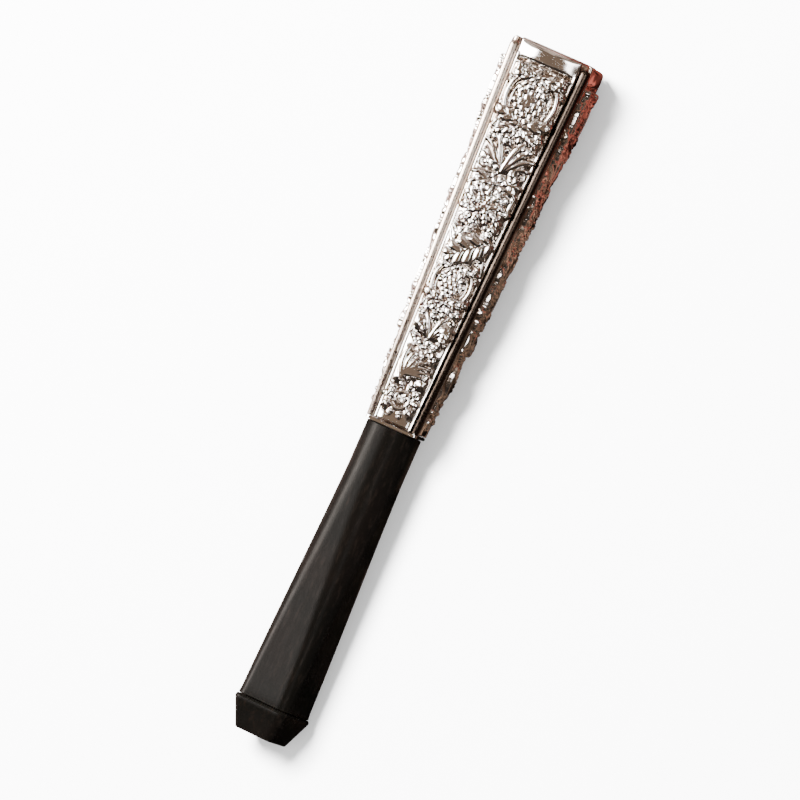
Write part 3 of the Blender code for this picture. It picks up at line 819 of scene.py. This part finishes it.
def handle_outline(height):
    """The handle's half width and corner radius: round at the top, then ever squarer."""
    foot = HANDLE_FOOT + FLARE_HEIGHT
    share = min(max((HANDLE_TOP - height) / (HANDLE_TOP - foot), 0.0), 1.0)
    blend = max(0.0, (share - HANDLE_ROUND_SHARE) / (1 - HANDLE_ROUND_SHARE))
    eased = blend * blend * (3 - 2 * blend)
    half = lerp(*HANDLE_HALF, blend)
    corner = lerp(*HANDLE_CORNER, 0.5 * (blend + eased))
    flare = max(0.0, 1 - (height - HANDLE_FOOT) / FLARE_HEIGHT)
    half += FLARE_REACH * flare
    if height > HANDLE_TOP - 0.3:
        half -= 0.3
        corner -= 0.3
    if height < HANDLE_FOOT + 0.1:
        half -= FLARE_REACH
    return half, corner


def make_handle(lacquer):
    heights = [HANDLE_FOOT, HANDLE_FOOT + 0.25, HANDLE_FOOT + 0.7, HANDLE_FOOT + 1.4]
    heights += [lerp(HANDLE_FOOT + FLARE_HEIGHT, HANDLE_TOP - 1.5, step / 40) for step in range(41)]
    heights += [HANDLE_TOP - 0.35, HANDLE_TOP]
    grip = ringed_cylinder(heights, 128)
    shape_rings(grip, handle_outline, TWIST)
    hollow_ends(grip, ((HANDLE_TOP, 9.5, 3.0), (HANDLE_FOOT, 9.5, 1.9)), 7.0)
    smooth(grip, 35)
    finish_piece(grip, "lacquered_grip", "handle", lacquer, "handle_grip")


def cut(thing, cutter):
    step = thing.modifiers.new("cut", "BOOLEAN")
    step.operation = "DIFFERENCE"
    step.solver = "EXACT"
    step.object = cutter
    apply_modifiers(thing)
    bpy.data.objects.remove(cutter)


def bore(thing, radius, low, high):
    cut(thing, add_cylinder(64, radius, low, high))


def hollow_ends(grip, recesses, radius):
    """Bores the handle through and sinks a round recess in each end."""
    bore(grip, radius, HANDLE_FOOT - 5, HANDLE_TOP + 5)
    for height, reach, depth in recesses:
        inward = -1 if height > HANDLE_FOOT + 10 else 1
        ends = sorted((height - inward * 5, height + inward * depth))
        bore(grip, reach, *ends)


def pommel_outline(height):
    """The pommel's half width and corner radius: it widens from its flat end to a lip, then draws in."""
    if height < LIP_HEIGHT:
        share = height / LIP_HEIGHT
        edge = 0.3 if height < 0.05 else 0.0
        return lerp(*POMMEL_HALF, share) - edge, lerp(*POMMEL_CORNER, share)
    share = (height - LIP_HEIGHT) / (POMMEL_TOP - LIP_HEIGHT)
    return POMMEL_HALF[1] - 0.4 * share * share, POMMEL_CORNER[1]


def make_pommel(lacquer):
    heights = [0.0, 0.35] + [lerp(1.0, LIP_HEIGHT, step / 8) for step in range(9)]
    heights += [LIP_HEIGHT + 0.35, LIP_HEIGHT + 0.8, POMMEL_TOP]
    cap = ringed_cylinder(heights, 128)
    shape_rings(cap, pommel_outline, TWIST)
    bore(cap, 8.7, POMMEL_TOP - 1.1, POMMEL_TOP + 5)
    bore(cap, 5.6, 6.5, POMMEL_TOP + 5)
    smooth(cap, 30)
    finish_piece(cap, "square_pommel", "pommel", lacquer, "pommel")


def threaded_stud(name, body, node, low, high, radius, steel):
    """A stud with a right-hand thread and a chamfer at each end."""
    rings_per_turn = 7
    count = int((high - low) / THREAD_PITCH * rings_per_turn)
    heights = [lerp(low, high, step / count) for step in range(count + 1)]
    stud = ringed_cylinder(heights, 48)
    for vertex in stud.data.vertices:
        angle = Vector(vertex.co.xy).angle_signed(Vector((1, 0)))
        turn = (vertex.co.z / THREAD_PITCH - angle / tau) % 1.0
        groove = min(max(1.35 - 2.7 * abs(turn - 0.5) * 1.2, 0.0), 1.0)
        nearest_end = min(vertex.co.z - low, high - vertex.co.z)
        reach = min(radius - THREAD_DEPTH * groove, radius - 0.9 + nearest_end)
        vertex.co.xy = vertex.co.xy.normalized() * reach
    smooth(stud, 35)
    finish_piece(stud, name, body, steel, node)


def make_mouth_ring(chrome):
    """The frame round the mouth, eased over at its top edge."""
    low, high = RING_BOTTOM, LENGTH
    half = panel_plane(low) - 2.1
    heights = [low, low + 1.0, high - RING_EASE, high - 0.6, high - 0.3, high - 0.1, high]
    ring = ringed_cylinder(heights, 128)

    def outline(height):
        top = max(0.0, (height - (high - RING_EASE)) / RING_EASE)
        return half - 0.5 * (1 - (1 - top * top) ** 0.5), RING_CORNER

    shape_rings(ring, outline)
    inner = ringed_cylinder([low - 3, high + 3], 128)
    shape_rings(inner, lambda height: (half - RING_WALL, RING_CORNER - RING_WALL))
    cut(ring, inner)
    smooth(ring, 45)
    finish_piece(ring, "polished_mouth_ring", "head", chrome, "mouth_ring")


def carried_over(material, *nodes):
    """Gives CAD nodes that keep their shape a better finish."""
    for name in nodes:
        node = frame["nodes"][name]
        node.data.materials.clear()
        node.data.materials.append(material)


# ---------------------------------------------------------------- studio


def smooth_ramp(nodes, links, value, low, high):
    made = nodes.new("ShaderNodeMapRange")
    made.interpolation_type = "SMOOTHSTEP"
    made.inputs["From Min"].default_value = low
    made.inputs["From Max"].default_value = high
    links.new(value, made.inputs["Value"])
    return made.outputs["Result"]


def window(nodes, links, *ramps):
    """A share that is full inside all the ramps, each a value with its low and high end, and none outside."""
    inside = None
    for value, low, high in ramps:
        ramp = smooth_ramp(nodes, links, value, low, high)
        inside = combine_values(nodes, links, "MULTIPLY", inside, ramp) if inside else ramp
    return inside


def dot_with(nodes, links, vector, direction):
    made = nodes.new("ShaderNodeVectorMath")
    made.operation = "DOT_PRODUCT"
    links.new(vector, made.inputs[0])
    made.inputs[1].default_value = direction
    return made.outputs["Value"]


def combine_values(nodes, links, operation, first, second):
    made = nodes.new("ShaderNodeMath")
    made.operation = operation
    for socket, value in zip(made.inputs, (first, second)):
        if isinstance(value, float):
            socket.default_value = value
        else:
            links.new(value, socket)
    return made.outputs["Value"]


def tone(nodes, links, share, darkest, span):
    """Turns an even share of 0 to 1 into a brightness that climbs by steady steps from dark to bright."""
    grown = combine_values(nodes, links, "MULTIPLY", share, span)
    power = combine_values(nodes, links, "EXPONENT", grown, 0.0)
    return combine_values(nodes, links, "MULTIPLY", power, darkest)


def patches(nodes, links, place, scale):
    """A random share for each of the irregular patches that fill space."""
    warp = add_node(nodes, "TexNoise", Scale=scale * 1.5, Detail=1.0)
    links.new(place, warp.inputs["Vector"])
    shift = nodes.new("ShaderNodeVectorMath")
    shift.operation = "MULTIPLY_ADD"
    links.new(warp.outputs["Color"], shift.inputs[0])
    shift.inputs[1].default_value = (0.35 / scale,) * 3
    links.new(place, shift.inputs[2])
    cells = add_node(nodes, "TexVoronoi", Scale=scale)
    links.new(shift.outputs["Vector"], cells.inputs["Vector"])
    apart = nodes.new("ShaderNodeSeparateColor")
    links.new(cells.outputs["Color"], apart.inputs["Color"])
    return apart.outputs["Red"]


def make_world(across, along, back):
    """A bright even room. Polished metal mirrors windows at its left, brown ahead and dark at its right."""
    world = bpy.data.worlds.new("studio")
    bpy.context.scene.world = world
    world.use_nodes = True
    nodes, links = world.node_tree.nodes, world.node_tree.links
    background = nodes["Background"]
    way = nodes.new("ShaderNodeTexCoord").outputs["Generated"]
    wave = combine_values(nodes, links, "MULTIPLY_ADD", noise(nodes, links, way, 2.6, 2.0), 0.4)
    wave.node.inputs[2].default_value = -0.2
    sideways = combine_values(nodes, links, "ADD", dot_with(nodes, links, way, across), wave)
    toward = dot_with(nodes, links, way, back)
    upward = combine_values(nodes, links, "ADD", dot_with(nodes, links, way, along), wave)
    left = smooth_ramp(nodes, links, sideways, -0.56, -0.7)
    pane = window(
        nodes,
        links,
        (sideways, -0.6, -0.66),
        (toward, 0.24, 0.34),
        (upward, -0.34, -0.28),
        (upward, 0.1, 0.04),
    )
    slant = combine_values(nodes, links, "ADD", sideways, upward)
    wedge = window(
        nodes,
        links,
        (slant, -0.04, 0.02),
        (sideways, 0.0, 0.04),
        (sideways, 0.34, 0.28),
        (upward, 0.3, 0.2),
    )
    weighted = (
        (pane, 1.0),
        (wedge, 0.52),
        (smooth_ramp(nodes, links, sideways, -0.05, 0.8), -0.24),
        (smooth_ramp(nodes, links, upward, -0.3, -0.7), -0.2),
        (smooth_ramp(nodes, links, upward, 0.15, 0.5), 0.06),
        (left, 0.1),
    )
    share = remap(nodes, links, patches(nodes, links, way, 3.2), 0.0, 1.0, 0.12, 0.57)
    for ramp, weight in weighted:
        total = combine_values(nodes, links, "MULTIPLY_ADD", ramp, weight)
        links.new(share, total.node.inputs[2])
        share = total
    share = combine_values(nodes, links, "MINIMUM", share, 1.14)
    share = combine_values(nodes, links, "MAXIMUM", share, 0.05)
    level = tone(nodes, links, share, 0.022, 6.2)
    brightness = smooth_ramp(nodes, links, level, 0.2, 2.5)
    tint = mix_colour(nodes, links, brightness, (1.0, 0.76, 0.6), (1.0, 0.975, 0.955))
    room = mix_colour(nodes, links, level, (0.0, 0.0, 0.0), tint)
    room.node.clamp_factor = False
    ahead = dot_with(nodes, links, way, (back - 0.3 * across).normalized())
    room = mix_colour(nodes, links, smooth_ramp(nodes, links, ahead, 0.925, 0.945), room, (0.24, 0.17, 0.12))
    strip = window(nodes, links, (sideways, -0.9, -0.95), (toward, -0.15, 0.0), (toward, 0.36, 0.3))
    room = mix_colour(nodes, links, strip, room, (75.0, 69.0, 64.0))
    behind = smooth_ramp(nodes, links, toward, -0.1, -0.2)
    far_left = combine_values(nodes, links, "MULTIPLY", left, behind)
    room = mix_colour(nodes, links, far_left, room, (1.1, 0.8, 0.67))
    path = nodes.new("ShaderNodeLightPath")
    shown = mix_colour(nodes, links, path.outputs["Is Glossy Ray"], (1.5, 1.5, 1.5), room)
    links.new(shown, background.inputs["Color"])
    background.inputs["Strength"].default_value = 1.0


def make_floor():
    """A plain pale floor. Polished metal sees it darker and warmer: red by the mouth, brown lower down."""
    deselect()
    bpy.ops.mesh.primitive_plane_add(size=6.0, location=(0, 0, 0))
    floor = bpy.context.object
    floor.name = "floor"
    made, nodes, links, shader = new_material("pale_floor")
    place = nodes.new("ShaderNodeTexCoord").outputs["Object"]
    path = nodes.new("ShaderNodeLightPath")
    apart = nodes.new("ShaderNodeSeparateXYZ")
    links.new(place, apart.inputs["Vector"])
    # Painted reflection: glossy rays see the floor in patches of red by the mouth, brown lower down and a bright
    # peach on the wand's left, in place of its plain pale colour.
    level = tone(nodes, links, patches(nodes, links, place, 95.0), 0.0012, 4.3)
    near_mouth = smooth_ramp(nodes, links, apart.outputs["X"], 0.05, 0.15)
    warm = mix_colour(nodes, links, near_mouth, (1.0, 0.62, 0.42), (1.7, 0.4, 0.29))
    left_share = smooth_ramp(nodes, links, apart.outputs["Y"], -0.005, 0.02)
    warm = mix_colour(nodes, links, left_share, warm, (6.0, 4.3, 3.7))
    mirrored = mix_colour(nodes, links, level, (0.0, 0.0, 0.0), warm)
    mirrored.node.clamp_factor = False
    seen = mix_colour(nodes, links, path.outputs["Is Glossy Ray"], (0.93, 0.93, 0.93), mirrored)
    links.new(seen, shader.inputs["Base Color"])
    shader.inputs["Roughness"].default_value = 0.9
    shader.inputs["Specular IOR Level"].default_value = 0.0
    floor.data.materials.append(made)


def make_key_light(across, along):
    """One broad soft lamp, above and to the left of the wand, that polished metal doesn't mirror."""
    data = bpy.data.lights.new("key", "AREA")
    data.shape = "RECTANGLE"
    data.size = 0.6
    data.size_y = 0.6
    data.energy = 440.0
    lamp = bpy.data.objects.new("key", data)
    bpy.context.scene.collection.objects.link(lamp)
    side = (-across * 0.75 + along * 0.45).normalized()
    lamp.location = side * 0.8 + Vector((0, 0, 1.6))
    lamp.rotation_euler = (-lamp.location).to_track_quat("-Z", "Y").to_euler()
    lamp.visible_glossy = False


def make_camera():
    """A long lens over the wand. Gives back the directions across it, along it and from it to the camera."""
    data = bpy.data.cameras.new("camera")
    data.lens = LENS
    data.sensor_width = SENSOR
    data.clip_end = 50.0
    camera = bpy.data.objects.new("camera", data)
    bpy.context.scene.collection.objects.link(camera)
    bpy.context.scene.camera = camera
    back = Vector((0, -sin(CAMERA_TILT), cos(CAMERA_TILT)))
    along = (wand_up - back * wand_up.dot(back)).normalized()
    across = along.cross(back)
    right = sin(ROLL) * along + cos(ROLL) * across
    up = cos(ROLL) * along - sin(ROLL) * across
    middle = LAY @ Vector((0, 0, LENGTH / 2))
    target = middle + AIM_OFFSET[0] * across + AIM_OFFSET[1] * along
    distance = FRAME_WIDTH * LENS / SENSOR
    turn = Matrix((right, up, back)).transposed().to_4x4()
    camera.matrix_world = Matrix.Translation(target + back * distance) @ turn
    return across, along, back


# ---------------------------------------------------------------- the object and its studio

across, along, back = make_camera()
# Painted shade: the relief's hollows darken towards this brown.
chrome_relief = chrome_material("chrome_relief", (0.46, 0.38, 0.32))
chrome_plain = chrome_material("chrome_plain")
# The columns' plating is a darker, peach-tinted copy of the panels' as painted shade, and darkens to near black on
# the side that looks along the next panel, a painted dark reflection.
chrome_columns = chrome_material("chrome_columns", (0.06, 0.045, 0.036), (0.24, 0.36), (0.46, 0.39, 0.34))
lacquer = lacquer_material()
finishes = {name: plain_material(name, *values) for name, values in FINISHES.items()}

make_panels(chrome_relief)
make_columns(chrome_columns)
make_mouth_ring(chrome_plain)
make_handle(lacquer)
make_pommel(lacquer)
threaded_stud("threaded_head_stud", "head", "head_stud", *HEAD_STUD, finishes["zinc_plate"])
threaded_stud("threaded_pommel_stud", "pommel", "pommel_stud", *POMMEL_STUD, finishes["zinc_plate"])
carried_over(chrome_plain, "base_plate")
carried_over(finishes["zinc_plate"], "base_screw_1", "base_screw_2", "base_screw_3", "base_screw_4")
carried_over(finishes["zinc_plate"], "stud_washer", "stud_nut")
carried_over(finishes["turned_brass"], "top_bushing", "bottom_bushing")
carried_over(finishes["red_fibre"], "joint_washer")
carried_over(finishes["black_rubber"], "pommel_gasket")
carried_over(finishes["cup_black"], "load_cup")
carried_over(finishes["black_felt"], "cup_pad")

make_world(across, along, back)
make_floor()
make_key_light(across, along)
